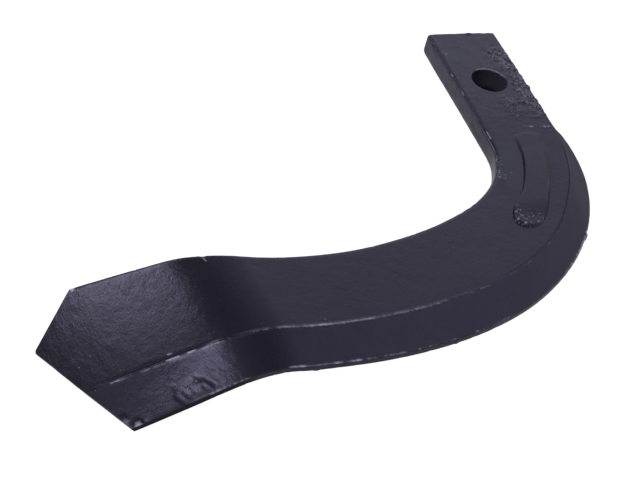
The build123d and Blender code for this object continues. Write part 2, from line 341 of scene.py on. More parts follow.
def full_t(which, columns):
    fixed = np.concatenate([shank_rows, blade_rows])[:, None] * np.ones((1, columns))
    end = tip_end(which, columns, POINT_SHARE)
    rest = T_TRIM + (end - T_TRIM) * tip_share[:, None]
    return np.concatenate([fixed, rest])


def shape_end(xy, z):
    """The sheared end: its lower edge rolls up and its upright corners are rounded."""
    d = np.clip(END - xy[..., 1], 0, None)

    def inset(r):
        k = np.clip(r - d, 0, r)
        return r - np.sqrt(r * r - k * k)
    low = BOTTOM + inset(END_ROLL)
    z = TOP - (TOP - z) * (TOP - low) / (TOP - BOTTOM)
    k = np.where(xy[..., 0] < 0, 1 - inset(END_LEFT) / HALF, 1 - inset(END_RIGHT) / HALF)
    x = xy[..., 0] * np.where(d < max(END_LEFT, END_RIGHT), k, 1)
    return np.stack([x, xy[..., 1]], -1), z


def side(which):
    columns = (N_U if which in ("upper", "lower") else N_V) + 1
    t = full_t(which, columns)
    u, z, s = part(which, t, POINT_SHARE)
    xy = s.xy(u)
    # soft edges where the trimmed edges meet the faces
    d = np.clip(-beyond_tip(xy), 0, None)
    r = 0.3
    k = np.clip(r - d, 0, r)
    drop = r - np.sqrt(r * r - k * k)
    mid = (s.upper(u) + s.low) / 2
    span = np.maximum((s.upper(u) - s.low) / 2, 0.5)
    z = mid + (z - mid) * (1 - np.where(t > T_TRIM, drop, 0) / span)
    d = np.clip(END - xy[..., 1], 0, None)
    k = np.clip(0.22 - d, 0, 0.22)
    z = z - np.where((t < -40) & (z > 3.0), 0.22 - np.sqrt(0.22 ** 2 - k * k), 0)
    xy, z = shape_end(xy, z)
    data = np.stack([xy[..., 0], xy[..., 1], z, u, s.to_ridge, s.outer, t], -1)
    return data


grids = {n: side(n) for n in ("upper", "outer", "lower", "inner")}


def coons(a, b, c, d):
    """Patch between the borders a (A to B), b (B to C), c (D to C) and d (A to D)."""
    n, m = len(a), len(b)
    s, q = np.linspace(0, 1, n)[None, :, None], np.linspace(0, 1, m)[:, None, None]
    return ((1 - q) * a[None] + q * c[None] + (1 - s) * d[:, None] + s * b[:, None]
            - ((1 - s) * (1 - q) * a[0] + s * (1 - q) * a[-1] + (1 - s) * q * c[0] + s * q * c[-1]))


caps = [coons(grids["upper"][i], grids["outer"][i], grids["lower"][i], grids["inner"][i]) for i in (0, -1)]
# the tip's cap keeps to the trimmed edges between its borders
lo, hi = np.full(caps[1].shape[:2], T_TRIM), np.full(caps[1].shape[:2], T_LAST)
for _ in range(40):
    mid = (lo + hi) / 2
    out = beyond_tip(Section(mid).xy(caps[1][..., 3])) > 0
    lo, hi = np.where(out, lo, mid), np.where(out, mid, hi)
caps[1][1:-1, 1:-1, :2] = Section(lo).xy(caps[1][..., 3])[1:-1, 1:-1]

# ---------------------------------------------------------------------------------------------------------------
# Polygons. Every patch lists its own points, and points that coincide are merged afterwards.
# ---------------------------------------------------------------------------------------------------------------
points, polygons, offset = [], [], 0


def add_points(data):
    global offset
    flat = data.reshape(-1, data.shape[-1])
    points.append(flat)
    index = np.arange(len(flat)).reshape(data.shape[:-1]) + offset
    offset += len(flat)
    return index


def add_quads(index, flip, skip=None):
    a, b, c, d = index[:-1, :-1], index[:-1, 1:], index[1:, 1:], index[1:, :-1]
    q = np.stack([a, b, c, d], -1)
    if skip is not None:
        q = q[~skip]
    q = q.reshape(-1, 4)
    polygons.extend((q[:, ::-1] if flip else q).tolist())


def close(index):
    return np.concatenate([index, index[:, :1]], 1)


# the hole's window on the upper and lower side: rows and columns near the corners of a square round the hole
def window(grid, even):
    x, y = grid[..., 0], grid[..., 1]
    mid_row = int(np.argmin(np.abs(y[:, N_U // 2])))
    cols = np.where(np.abs(x[mid_row]) < 9.6)[0]
    rows = np.where((np.abs(y[:, N_U // 2]) < 9.6) & (grid[:, N_U // 2, 6] < 0))[0]
    r0, r1, c0, c1 = rows[0], rows[-1], cols[0], cols[-1]
    if even:
        r0, r1, c0, c1 = r0 + r0 % 2, r1 - r1 % 2, c0 + c0 % 2, c1 - c1 % 2
    return r0, r1, c0, c1


up = grids["upper"]
r0, r1, c0, c1 = window(up, True)
skip = np.zeros((N_ROWS - 1, N_U), bool)
skip[r0:r1, c0:c1] = True


def closed_curve(pts, n):
    """A smooth closed curve through the points, as n points."""
    p = np.array(pts)
    k = len(p)
    step = np.linalg.norm(np.roll(p, -1, 0) - p, axis=1)
    t = np.concatenate([[0], np.cumsum(step)])
    wrap = 5
    tt = np.concatenate([t[-1 - wrap:-1] - t[-1], t, t[1:1 + wrap] + t[-1]])
    pp = np.concatenate([p[-wrap:], p, p[:1], p[1:1 + wrap]])
    x = np.arange(n) / n * t[-1]
    return np.stack([smooth_curve(tt, pp[:, 0])(x), smooth_curve(tt, pp[:, 1])(x)], -1)


def grid_place(grid, p):
    """Row and column, with fractions, of the points p on a grid."""
    xy = grid[..., :2]
    rows, cols = xy.shape[:2]
    out = []
    for q in p:
        d = ((xy - q) ** 2).sum(-1)
        i, j = np.unravel_index(np.argmin(d), d.shape)
        i, j = min(max(i, 1), rows - 2), min(max(j, 1), cols - 2)
        jac = np.stack([(xy[i + 1, j] - xy[i - 1, j]) / 2, (xy[i, j + 1] - xy[i, j - 1]) / 2], 1)
        out.append(np.array([i, j]) + np.linalg.solve(jac, q - xy[i, j]))
    return np.array(out)


rib_foot, rib_top = closed_curve(RIB_FOOT, 480), closed_curve(RIB_TOP, 480)
foot_at, top_at = grid_place(up, rib_foot), grid_place(up, rib_top)
g0, g1 = int(foot_at[:, 0].min()) - 8, int(foot_at[:, 0].max()) + 9
h0, h1 = int(foot_at[:, 1].min()) - 5, int(foot_at[:, 1].max()) + 6
skip[g0:g1, h0:h1] = True
up_index = add_points(up)
add_quads(up_index, False, skip)
add_quads(add_points(grids["outer"]), False)
add_quads(add_points(grids["inner"]), True)
add_quads(add_points(caps[0]), True)
add_quads(add_points(caps[1]), False)

# the raised rib: rings from its window's border in to its foot, up its wall and over its top
rib_border = [(g0, c) for c in range(h0, h1)] + [(r, h1) for r in range(g0, g1)]
rib_border += [(g1, c) for c in range(h1, h0, -1)] + [(r, h0) for r in range(g1, g0, -1)]
rib_mid = (top_at.min(0) + top_at.max(0)) / 2
rib_size = np.array([g1 - g0, h1 - h0])


def around(at):
    v = (at - rib_mid) / rib_size
    return np.arctan2(v[:, 0], v[:, 1])


def by_angle(at, xy, want):
    a = around(at)
    o = np.argsort(a)
    a, xy = a[o], xy[o]
    a = np.concatenate([a[-6:] - 2 * np.pi, a, a[:6] + 2 * np.pi])
    xy = np.concatenate([xy[-6:], xy, xy[:6]])
    return np.stack([np.interp(want, a, xy[:, 0]), np.interp(want, a, xy[:, 1])], -1)


border_data = np.array([up[r, c] for r, c in rib_border])
want = around(np.array(rib_border, float))
foot_xy, top_xy = by_angle(foot_at, rib_foot, want), by_angle(top_at, rib_top, want)
# the wall is steepest on the side of the blade's inner edge
tight = 1 - 0.45 * np.clip(-np.cos(want) + 0.35, 0, 1) * np.clip(1.3 + np.sin(want), 0, 1) - 0.30 * np.clip(np.sin(want) * 1.6 - 0.7, 0, 1)
foot_xy = top_xy + (foot_xy - top_xy) * tight[:, None]
i_mid, j_mid = int(round(rib_mid[0])), int(round(rib_mid[1]))
centre_xy = up[i_mid, j_mid, :2]
wall_len = np.linalg.norm(top_xy - foot_xy, axis=1)
inward = centre_xy - top_xy
reach = np.linalg.norm(inward, axis=1)
inward = inward / reach[:, None]


def face_place(xy, t):
    """t and u of points on the face, from a first guess of t."""
    for _ in range(25):
        sec = Section(t)
        e = (sec.r - sec.i) / sec.to_ridge[:, None]
        rel = xy - sec.i
        t = t + 0.8 * (rel[:, 0] * e[:, 1] - rel[:, 1] * e[:, 0])
    sec = Section(t)
    e = (sec.r - sec.i) / sec.to_ridge[:, None]
    return t, ((xy - sec.i) * e).sum(-1), sec


rib_rows = []
for kind, f in ([("out", f) for f in (0, 0.12, 0.24, 0.36, 0.48, 0.6, 0.7, 0.79, 0.87, 0.93, 0.97)]
                + [("wall", f) for f in (0, 0.07, 0.14, 0.2, 0.26, 0.31, 0.37, 0.45, 0.55, 0.66, 0.76, 0.85, 0.93, 1.0)]
                + [("in", f) for f in (0.1, 0.2, 0.32, 0.5, 0.75, 1.1)]
                + [("mid", f) for f in (0.12, 0.25, 0.38, 0.5, 0.62, 0.73, 0.83, 0.91, 0.97)]):
    row = border_data.copy()
    if kind == "out":
        row[:, :2] = border_data[:, :2] * (1 - f) + foot_xy * f
        x = wall_len + np.linalg.norm(row[:, :2] - foot_xy, axis=1)
    elif kind == "wall":
        row[:, :2] = foot_xy * (1 - f) + top_xy * f
        x = (1 - f) * wall_len
    elif kind == "in":
        row[:, :2] = top_xy + inward * f
        x = np.full(len(row), -f)
    else:
        start = top_xy + inward * 1.1
        row[:, :2] = start * (1 - f) + centre_xy * f
        x = -1.1 - f * reach
    if kind != "out" or f:
        t_at, u_at, sec = face_place(row[:, :2], row[:, 6])
        base = sec.upper(u_at)
        grow = 1 - (1 - np.clip((-27.5 - row[:, 1]) / 26, 0, 1)) ** 2
        fade = np.clip((-61.5 - row[:, 1]) / 9, 0, 1)
        level = 3.78 + (FACE + RIB_RISE - 3.78) * grow - 0.5 * fade * fade * (3 - 2 * fade)
        blunt = 0.14 + 0.30 * (1 - np.clip((-27.5 - row[:, 1]) / 7, 0, 1))
        steep = 1.42 * np.clip(level - base, 0.08, None) / wall_len
        high = level - steep * (np.sqrt(x * x + blunt ** 2) + x) / 2
        gap = high - base
        row[:, 2] = base + (np.sqrt(gap * gap + 0.05 ** 2) + gap) / 2
        row[:, 3], row[:, 4], row[:, 5], row[:, 6] = u_at, sec.to_ridge, sec.outer, t_at
    rib_rows.append(row)
rib_rows = np.array(rib_rows)
rib_index = add_points(rib_rows)
add_quads(close(rib_index), False)
polygons.append([int(k) for k in rib_index[-1]])

# lower side, at half the resolution, with the borders' extra points in its outermost polygons
low = grids["lower"]
q0, q1, e0, e1 = window(low, True)
low_index = add_points(low)
for i in range(0, N_ROWS - 1, 2):
    for j in range(0, N_U, 2):
        if q0 <= i < q1 and e0 <= j < e1:
            continue
        ring = [low_index[i, j]]
        if i == 0:
            ring.append(low_index[i, j + 1])
        ring.append(low_index[i, j + 2])
        if j + 2 == N_U:
            ring.append(low_index[i + 1, j + 2])
        ring.append(low_index[i + 2, j + 2])
        if i + 2 == N_ROWS - 1:
            ring.append(low_index[i + 2, j + 1])
        ring.append(low_index[i + 2, j])
        if j == 0:
            ring.append(low_index[i + 1, j])
        polygons.append([int(k) for k in ring[::-1]])


# the hole: rings from the window's border in to the rim, then down the wall
def border(r0, r1, c0, c1, step):
    out = [(r0, c) for c in range(c0, c1, step)] + [(r, c1) for r in range(r0, r1, step)]
    out += [(r1, c) for c in range(c1, c0, -step)] + [(r, c0) for r in range(r1, r0, -step)]
    return out


def ring_points(pts, grid, level, angles):
    """Rings from the square border to the hole's rim on one face."""
    outer_ring = np.array([grid[r, c] for r, c in pts])
    rows = []
    rim = HOLE_R + HOLE_RIM
    for f in (0, 0.14, 0.28, 0.42, 0.55, 0.67, 0.78, 0.87, 0.93, 0.97, 1.0):
        ring = outer_ring.copy()
        circle = np.stack([np.cos(angles), np.sin(angles)], 1) * rim
        ring[:, :2] = outer_ring[:, :2] * (1 - f) + circle * f
        ring[:, 2] = outer_ring[:, 2] * (1 - f) + level * f
        ring[:, 3] = ring[:, 0] + HALF
        ring[:, 6] = -ring[:, 1] - FOOT
        rows.append(ring)
    return np.array(rows)


top_border = border(r0, r1, c0, c1, 1)
low_border = border(q0, q1, e0, e1, 2)
top_xy = np.array([up[r, c][:2] for r, c in top_border])
top_angles = np.unwrap(np.arctan2(top_xy[:, 1], top_xy[:, 0]))
low_xy = np.array([low[r, c][:2] for r, c in low_border])
low_angles = np.unwrap(np.arctan2(low_xy[:, 1], low_xy[:, 0]))


top_rings = ring_points(top_border, up, TOP, top_angles)
low_rings = ring_points(low_border, low, BOTTOM, low_angles)
add_quads(close(add_points(top_rings)), False)
low_ring_index = add_points(low_rings)
add_quads(close(low_ring_index), True)
# wall of the hole, with the broken edges at both ends
levels = ([TOP, TOP - 0.05, TOP - 0.15, TOP - HOLE_RIM] + list(np.linspace(TOP - HOLE_RIM, BOTTOM + 0.9, 14))[1:]
          + [BOTTOM + 0.7, BOTTOM + 0.55, BOTTOM + 0.42, BOTTOM + 0.3, BOTTOM + 0.15])
wall = []
burr = 0.30 + 1.05 * np.exp(-((np.mod(top_angles - math.radians(62) + np.pi, 2 * np.pi) - np.pi) / 1.0) ** 2)
for z in levels:
    k = np.clip(max(z - (TOP - HOLE_RIM), (BOTTOM + HOLE_RIM) - z), 0, HOLE_RIM)
    r = HOLE_R + HOLE_RIM - math.sqrt(max(HOLE_RIM ** 2 - k ** 2, 0)) if k > 0 else HOLE_R
    row = top_rings[-1].copy()
    hang = np.clip((BOTTOM + 0.75 - z) / 0.5, 0, 1)
    r = r - burr * hang * hang * (3 - 2 * hang)
    row[:, 0], row[:, 1], row[:, 2] = np.cos(top_angles) * r, np.sin(top_angles) * r, z
    row[:, 3] = row[:, 0] + HALF
    row[:, 6] = -row[:, 1] - FOOT
    wall.append(row)
wall_index = add_points(np.array(wall))
add_quads(close(wall_index), False)
# join the last ring of the wall, which has more points, to the lower rim
last, rim_low = wall_index[-1], low_ring_index[-1]
n, m = len(last), len(rim_low)
i = j = 0
turn = np.sign(top_angles[-1] - top_angles[0])
base = top_angles[0]
low_rel = (low_angles - base) * turn
low_rel = np.mod(low_rel + np.pi, 2 * np.pi) - np.pi
first = int(np.argmin(np.abs(low_rel)))
order = [(first + k) % m for k in range(m)]
low_seq = np.unwrap(low_angles[order])
low_seq = (low_seq - base) * turn
low_seq += 2 * np.pi * np.round((0 - low_seq[0]) / (2 * np.pi))
top_seq = (top_angles - base) * turn
while i < n or j < m:
    a_next = top_seq[i + 1] if i + 1 < n else 2 * np.pi + (top_seq[0] if i + 1 == n else 1e9)
    b_next = low_seq[j + 1] if j + 1 < m else 2 * np.pi + (low_seq[0] if j + 1 == m else 1e9)
    if j >= m or (i < n and a_next <= b_next):
        polygons.append([int(last[i % n]), int(last[(i + 1) % n]), int(rim_low[order[j % m]])])
        i += 1
    else:
        polygons.append([int(last[i % n]), int(rim_low[order[(j + 1) % m]]), int(rim_low[order[j % m]])])
        j += 1

data = np.concatenate(points)
inverse = np.arange(len(data))
for shift in (0.0, 0.37):
    key = np.round(data[:, :3] / 2e-4 + shift).astype(np.int64)
    _, first_of, same = np.unique(key, axis=0, return_index=True, return_inverse=True)
    inverse = same.ravel()[inverse]
    data = data[first_of]
faces = []
for f in polygons:
    g = [int(inverse[k]) for k in f]
    g = [v for k, v in enumerate(g) if v != g[k - 1]]
    if len(set(g)) > 2:
        faces.append(g)
# only the points that a polygon uses
used = np.unique(np.concatenate([np.array(f) for f in faces]))
remap = np.full(len(data), -1)
remap[used] = np.arange(len(used))
data = data[used]
faces = [[int(remap[k]) for k in f[::-1]] for f in faces]
print("points", len(data), "polygons", len(faces), "triangles", sum(len(f) - 2 for f in faces))


# the bend's turn dies away slowly on the scoop's side, and meets the scoop's plane without a shift
SOFT_END = 7.0
bend_s = np.linspace(0, BEND_LEN + SOFT_END, 500)
bend_turn = np.where(bend_s < BEND_LEN - SOFT_END, bend_s / BEND_LEN, 1 - (BEND_LEN + SOFT_END - bend_s) ** 2 / (4 * SOFT_END * BEND_LEN)) * BEND_ANGLE
bend_x = np.concatenate([[0], np.cumsum(np.cos((bend_turn[1:] + bend_turn[:-1]) / 2) * np.diff(bend_s))])
bend_z = np.concatenate([[0], np.cumsum(np.sin((bend_turn[1:] + bend_turn[:-1]) / 2) * np.diff(bend_s))])
want_x = BEND_R * math.sin(BEND_ANGLE) + SOFT_END * math.cos(BEND_ANGLE)
want_z = BEND_R * (1 - math.cos(BEND_ANGLE)) + SOFT_END * math.sin(BEND_ANGLE)
ease = (bend_s / bend_s[-1]) ** 2 * (3 - 2 * bend_s / bend_s[-1])
bend_x += (want_x - bend_x[-1]) * ease
bend_z += (want_z - bend_z[-1]) * ease


def fold(p):
    """The blank's points, taken round the bend."""
    a, w = np.array([-math.sin(BEND_SKEW), math.cos(BEND_SKEW), 0]), np.array([-math.cos(BEND_SKEW), -math.sin(BEND_SKEW), 0])
    start, up_dir = np.array([BEND_X, BEND_Y, FACE]), np.array([0, 0, 1.0])
    rel = p - start
    s, along, h = rel @ w, rel @ a, rel[:, 2]
    turn = np.interp(s, bend_s, bend_turn)
    c, n = np.cos(turn)[:, None], np.sin(turn)[:, None]
    forward, normal = w * c - up_dir * n, w * n + up_dir * c
    origin = (start + a * along[:, None] + w * np.interp(s, bend_s, bend_x)[:, None] - up_dir * np.interp(s, bend_s, bend_z)[:, None]
              + forward * np.maximum(s - bend_s[-1], 0)[:, None])
    bent = origin + normal * h[:, None]
    return np.where((s <= 0)[:, None], p, bent)


blank = data[:, :3].copy()
U, RIDGE_U, OUT_U, T = data[:, 3], data[:, 4], data[:, 5], data[:, 6]
X, Y = blank[:, 0].copy(), blank[:, 1].copy()

draft = bpy.data.meshes.new("draft")
draft.from_pydata(blank.tolist(), [], faces)
draft.update()
blank_normal = np.zeros(len(blank) * 3, np.float32)
draft.vertex_normals.foreach_get("vector", blank_normal)
blank_normal = blank_normal.reshape(-1, 3).astype(float)
bpy.data.meshes.remove(draft)


def noise(p, seed):
    """Smooth noise from -1 to 1 with a lattice of 1."""
    p = np.atleast_2d(p)
    if p.shape[1] == 2:
        p = np.concatenate([p, np.zeros((len(p), 1))], 1)
    i = np.floor(p).astype(np.int64)
    f = p - i
    w = f * f * f * (f * (f * 6 - 15) + 10)
    out = np.zeros(len(p))
    for dx in (0, 1):
        for dy in (0, 1):
            for dz in (0, 1):
                h = ((i[:, 0] + dx) * 73856093) ^ ((i[:, 1] + dy) * 19349663) ^ ((i[:, 2] + dz) * 83492791) ^ (seed * 374761393)
                h = (h ^ (h >> 13)) & 0xFFFFFFFF
                h = (h * 1274126177) & 0xFFFFFFFF
                h = (h ^ (h >> 16)) & 0xFFFFFFFF
                h = (h * 668265263) & 0xFFFFFFFF
                h = (h ^ (h >> 15)) & 0xFFFFFF
                g = h / 0x7FFFFF - 1
                out += g * (w[:, 0] if dx else 1 - w[:, 0]) * (w[:, 1] if dy else 1 - w[:, 1]) * (w[:, 2] if dz else 1 - w[:, 2])
    return out


def layers(p, seed, count=3, gain=0.5):
    total, size = np.zeros(len(p)), 1.0
    for k in range(count):
        total += size * noise(p * 2.03 ** k + 17.3 * k, seed + 31 * k)
        size *= gain
    return total


def step(x, lo, hi):
    k = np.clip((x - lo) / (hi - lo), 0, 1)
    return k * k * (3 - 2 * k)


def blob(x, y, r, soft=None):
    """1 at a point of the blank, falling to 0 at distance r."""
    d = np.hypot(X - x, Y - y)
    return step(-d, -r, -(r * 0.35 if soft is None else r - soft))


def stroke(x0, y0, x1, y1, width):
    """1 along a line of the blank, falling to 0 beside it."""
    ax, ay, bx, by = X - x0, Y - y0, x1 - x0, y1 - y0
    k = np.clip((ax * bx + ay * by) / (bx * bx + by * by), 0, 1)
    d = np.hypot(ax - k * bx, ay - k * by)
    return np.exp(-(d / width) ** 2)


facing_up = step(blank_normal[:, 2], 0.35, 0.75)
upper_half = step(blank_normal[:, 2], 0.05, 0.45)
from_ridge = U - RIDGE_U
from_outer = OUT_U - U
in_shank = step(-T, -8, 2)
in_scoop = step(-X, 112, 126)
hole_d = np.hypot(X, Y)
near_hole = step(-hole_d, -8.2, -6.9)
flow = np.stack([T, U], 1)

push = np.zeros(len(blank))
# scale and hammering left by the forge
push += (0.024 + 0.016 * in_shank) * layers(blank / 13.0, 3, 2) + (0.012 + 0.012 * in_shank) * layers(blank / 4.2, 5, 2)
push += (0.0035 + 0.009 * in_shank) * noise(blank / 1.5, 9)
side_face = step(-np.abs(blank_normal[:, 2]), -0.6, -0.3)
push += side_face * 0.03 * layers(blank / 3.2, 77, 2)
# long strokes across the scoop
face_side = step(-from_ridge, -0.6, 1.0)
push += in_scoop * facing_up * (0.3 + 0.7 * face_side) * (0.008 * noise(flow / (2.6, 15) + 0.35 * noise(flow / 9, 4)[:, None], 11)
                                + 0.004 * noise(flow / (1.1, 9) + 0.5 * noise(flow / 6, 8)[:, None], 12))

# ridge between face and bevel: a raised bead that comes and goes
along = flow[:, :1]
bead = 0.55 + 0.45 * noise(np.c_[along / 2.1, along * 0], 21) + 0.35 * noise(np.c_[along / 0.9, along * 0], 22)
bead = np.clip(bead, 0.05, 1.3)
strong = step(-X, 40, 66) * (1 - 0.35 * step(-X, 104, 112) * step(X, -128, -122))
on_ridge = np.exp(-((from_ridge - 0.05) / 0.45) ** 2) * upper_half * step(T, 6, 14)
fade_end = step(X, -166.5, -156)
push += on_ridge * (0.05 + 0.27 * strong * bead) * fade_end * (1 - 0.6 * step(-X, 122, 130))
above = np.exp(-((from_ridge + 0.62) / 0.30) ** 2) * upper_half
groove = step(-X, 124, 133) * fade_end
push -= above * 0.13 * groove * (0.75 + 0.25 * noise(np.c_[along / 3, along * 0], 23))
# right of the rib the ridge is a fine scribed line
scribe = np.exp(-((from_ridge + 0.30) / 0.17) ** 2) * upper_half * step(X, -40, -26) * step(T, 8, 16)
push -= 0.085 * scribe

# creased upper edge of the shank and the start of the blade
crease = np.exp(-((U - 1.15) / 0.32) ** 2) * facing_up * step(-T, -14, -9)
push -= crease * (0.07 + 0.05 * noise(np.c_[along / 4, along * 0], 25))
# fine lip along the inner edge of the blade
lip = np.exp(-((U - 0.75) / 0.35) ** 2) * facing_up * step(T, 14, 20)
push -= lip * 0.05

# torn and wrinkled skin at the outer side of the shank
tear = (step(X + 1.6 * noise(blank / 4.0, 41), 5.6, 9.4) * step(Y, -22.5, -17) * step(-Y, -23, -15)
        * facing_up * step(hole_d, 6.9, 8.2))
tear = np.maximum(tear, 0.8 * blob(8, 14, 6.5) * facing_up * step(hole_d, 7.2, 8.6))
tear = np.maximum(tear, 0.75 * blob(2, -14.5, 8.0) * facing_up * step(hole_d, 7.4, 9.2) * step(X, -4, 2))
tear = np.maximum(tear, 0.9 * blob(9.5, -12, 6.0) * facing_up)
ridged = 1 - np.abs(noise(blank / (2.3, 1.5, 2) + 0.5 * noise(blank / 3, 44)[:, None], 42)) * 2
ridged2 = 1 - np.abs(noise(blank / 1.15, 43)) * 2
push += tear * (0.20 * ridged + 0.11 * ridged2 - 0.08)
# edge of the die's step across the shank
die = stroke(5.5, -20.4, 13.2, -20.9, 0.45) * facing_up * step(noise(blank / 2.1, 52), -0.7, 0.2)
push += 0.13 * die
die2 = stroke(2.6, -25.3, 11.5, -26.0, 0.4) * facing_up * step(noise(blank / 1.6, 51), -0.35, 0.15)
push += 0.12 * die2

# struck spot on the scoop's bevel, with a turned-up rim
dx, dy = X + 137.6, Y + 108.6
dent_r = np.hypot(dx / 1.45, dy) + 0.45 * noise(blank / 1.7, 61)
dent = step(-dent_r, -3.6, -2.0) * upper_half
push -= dent * (0.05 + 0.085 * noise(blank / 1.2, 62))
gouge = np.maximum(stroke(-142.4, -105.4, -143.1, -108.2, 0.36), stroke(-143.1, -108.2, -141.2, -111.6, 0.55)) * upper_half
push -= gouge * 0.20
arc = np.maximum(stroke(-135.9, -106.3, -133.8, -107.6, 0.34), stroke(-133.8, -107.6, -131.8, -110.4, 0.36)) * upper_half
push -= arc * 0.13
push += np.maximum(stroke(-136.6, -107.1, -134.4, -108.3, 0.5), stroke(-134.4, -108.3, -132.7, -110.6, 0.5)) * upper_half * 0.06

# drop of paint at the tip's front corner, notch in the inner edge, small nubs of flash
push += blob(-156.2, -110.0, 2.1) * facing_up * 0.32
push += blob(-159.6, -106.2, 1.6) * facing_up * 0.16
push -= blob(-121.6, -71.0, 1.25) * 0.32 * upper_half
push += stroke(-122.2, -71.9, -121.0, -74.4, 0.32) * facing_up * 0.10
for x, y, r, h in ((5.1, -73.0, 1.2, 0.40), (-55.3, -111.3, 1.3, 0.45), (-20.2, -97.6, 1.1, 0.30), (3.1, 27.4, 1.3, 0.30),
                   (-99.7, -114.9, 1.1, 0.25), (13.4, -4.5, 1.4, 0.30), (13.4, 1.8, 1.1, 0.22), (13.3, -11.5, 1.2, 0.28)):
    push += blob(x, y, r) * h
# nicks along the edges
edge_line_mask = np.maximum(np.exp(-(from_outer / 0.6) ** 2), np.exp(-((U - 0.3) / 0.55) ** 2))
push -= edge_line_mask * 0.07 * step(noise(blank / 1.9, 71), 0.25, 0.8)
end_edge = np.exp(-((END - Y) / 0.55) ** 2) * upper_half
push += end_edge * 0.09 * noise(blank / 1.1, 72)
tip_d = np.clip(-beyond_tip(blank[:, :2]), 0, 50)
tip_edge = np.exp(-(tip_d / 0.7) ** 2) * (X < -140)
push -= tip_edge * 0.08 * step(noise(blank / 1.7, 73), 0.1, 0.8)
# pits
for k, (size, depth) in enumerate(((1.5, 0.016), (0.9, 0.012))):
    push -= facing_up * depth * step(noise(blank / size, 81 + k), 0.62, 0.95)
push *= 1 - 0.85 * near_hole * facing_up
in_hole = (hole_d < HOLE_R + HOLE_RIM + 0.05)
push[in_hole] *= 0.3

blank += blank_normal * push[:, None]
place = fold(blank)
lo_box, hi_box = np.array(cad_box[0]) / MM + 0.004, np.array(cad_box[1]) / MM - 0.004
place = np.clip(place, lo_box, hi_box)

# how worn, speckled and dull each point is, where highlights are painted along its ridges, edges and the hole's rim,
# and where painted shade darkens its grooves, creases, dents, edges and the hole
dashes = np.clip(0.25 + 0.9 * noise(np.c_[along / 1.6, along * 0], 91) + 0.35 * noise(np.c_[along / 0.7, along * 0], 92), 0, 1)
# painted highlight: rubbed paint and painted glints as light dashes along the scoop's ridge
wear_and_highlight = np.exp(-((from_ridge - 0.02) / 0.40) ** 2) * upper_half * strong * fade_end * (0.5 + 0.4 * bead)
wear_and_highlight *= 0.44 + 0.52 * step(X, -119, -112) * (1 - 0.30 * step(X, -92, -70)) * (1 - 0.5 * step(X, -64, -46))
wear_and_highlight *= 1 - 0.8 * step(-X, 157, 163)
wear_and_highlight = np.maximum(wear_and_highlight, 0.62 * np.exp(-((from_ridge - 0.30) / 0.34) ** 2) * upper_half * step(X, -160.2, -159.4) * step(-X, 155.8, 156.8))
wear_and_highlight = np.maximum(wear_and_highlight, 0.62 * np.exp(-((from_ridge - 0.40) / 0.55) ** 2) * upper_half * step(X, -131.6, -130.2) * step(-X, 121.5, 125.5))
for x0, x1 in ((-141.7, -137.4), (-135.2, -132.5)):
    bright = step(X, x0 - 0.5, x0 + 0.3) * step(-X, -x1 - 0.5, -x1 + 0.3)
    wear_and_highlight = np.maximum(wear_and_highlight, bright * np.exp(-((from_ridge - 0.05) / 0.40) ** 2) * upper_half * (0.86 + 0.14 * dashes))
light = step(X, -62, -44) * (0.25 + 0.75 * step(-X, 3, 12))
wear_and_highlight = np.maximum(wear_and_highlight, 0.55 * light * np.exp(-((from_ridge - 0.10) / 0.36) ** 2) * upper_half * step(T, 12, 20) * (0.5 + 0.5 * dashes))
wear_and_highlight = np.maximum(wear_and_highlight, 0.30 * np.exp(-((from_ridge - 0.15) / 0.28) ** 2) * upper_half * step(T, 12, 20) * (0.4 + 0.6 * dashes))
# painted highlight: a light line along the upper edge of the land, partly rubbed paint
land_top = np.exp(-((from_outer - 0.25) / 0.40) ** 2) * step(blank_normal[:, 2], 0.02, 0.3) * step(T, 5, 20)
long_wear_and_highlight = np.maximum(step(X, -110.0, -106.5) * (1 - 0.75 * step(X, -98, -62)), 0.6 * step(X, -136, -132) * step(-X, 118, 124))
long_wear_and_highlight = np.maximum(long_wear_and_highlight, 0.85 * step(Y, -92, -88) * step(-Y, 66, 72) * step(X, -14, -8))
wear_and_highlight = np.maximum(wear_and_highlight, land_top * (1 - 0.92 * step(-X, 136, 140)) * np.clip(dashes * 0.32 + long_wear_and_highlight * (0.52 + 0.28 * dashes), 0, 1))
wear_and_highlight = np.maximum(wear_and_highlight, np.exp(-((U - 0.55) / 0.30) ** 2) * facing_up * step(-T, -12, -6) * 0.32 * step(dashes, 0.55, 0.95))
# painted highlights: short light strokes on the shank's crease, the notch, the die step and the scoop
for x0, y0, x1, y1, w, a in ((-13.0, 22.6, -12.0, 20.9, 0.26, 0.7), (-12.9, 4.4, -12.9, 2.8, 0.24, 0.8), (-12.9, -5.6, -13.0, -7.6, 0.22, 0.7),
                             (-12.5, -27.0, -12.4, -30.4, 0.27, 1.0), (-122.2, -71.7, -121.2, -74.0, 0.24, 0.8),
                             (7.5, -20.4, 12.6, -20.9, 0.30, 0.40), (-140.8, -96.2, -139.5, -96.5, 0.34, 0.85)):
    wear_and_highlight = np.maximum(wear_and_highlight, a * stroke(x0, y0, x1, y1, w) * upper_half)
# painted highlights: light spots on the rib's wall and lower end
for x, y, r, a in ((-14.2, -40.0, 0.6, 0.9), (-16.0, -46.3, 0.7, 0.9), (-17.0, -48.7, 0.6, 0.9), (-12.4, -46.6, 0.5, 0.7), (-18.9, -66.0, 0.7, 0.9), (-19.4, -69.0, 0.8, 0.8),
                   (-17.7, -71.0, 0.8, 1.0), (-12.2, -69.2, 0.7, 1.0), (-13.4, -71.0, 0.6, 0.9), (-15.4, -71.6, 0.5, 0.7)):
    wear_and_highlight = np.maximum(wear_and_highlight, 0.85 * a * blob(x, y, r) * upper_half)
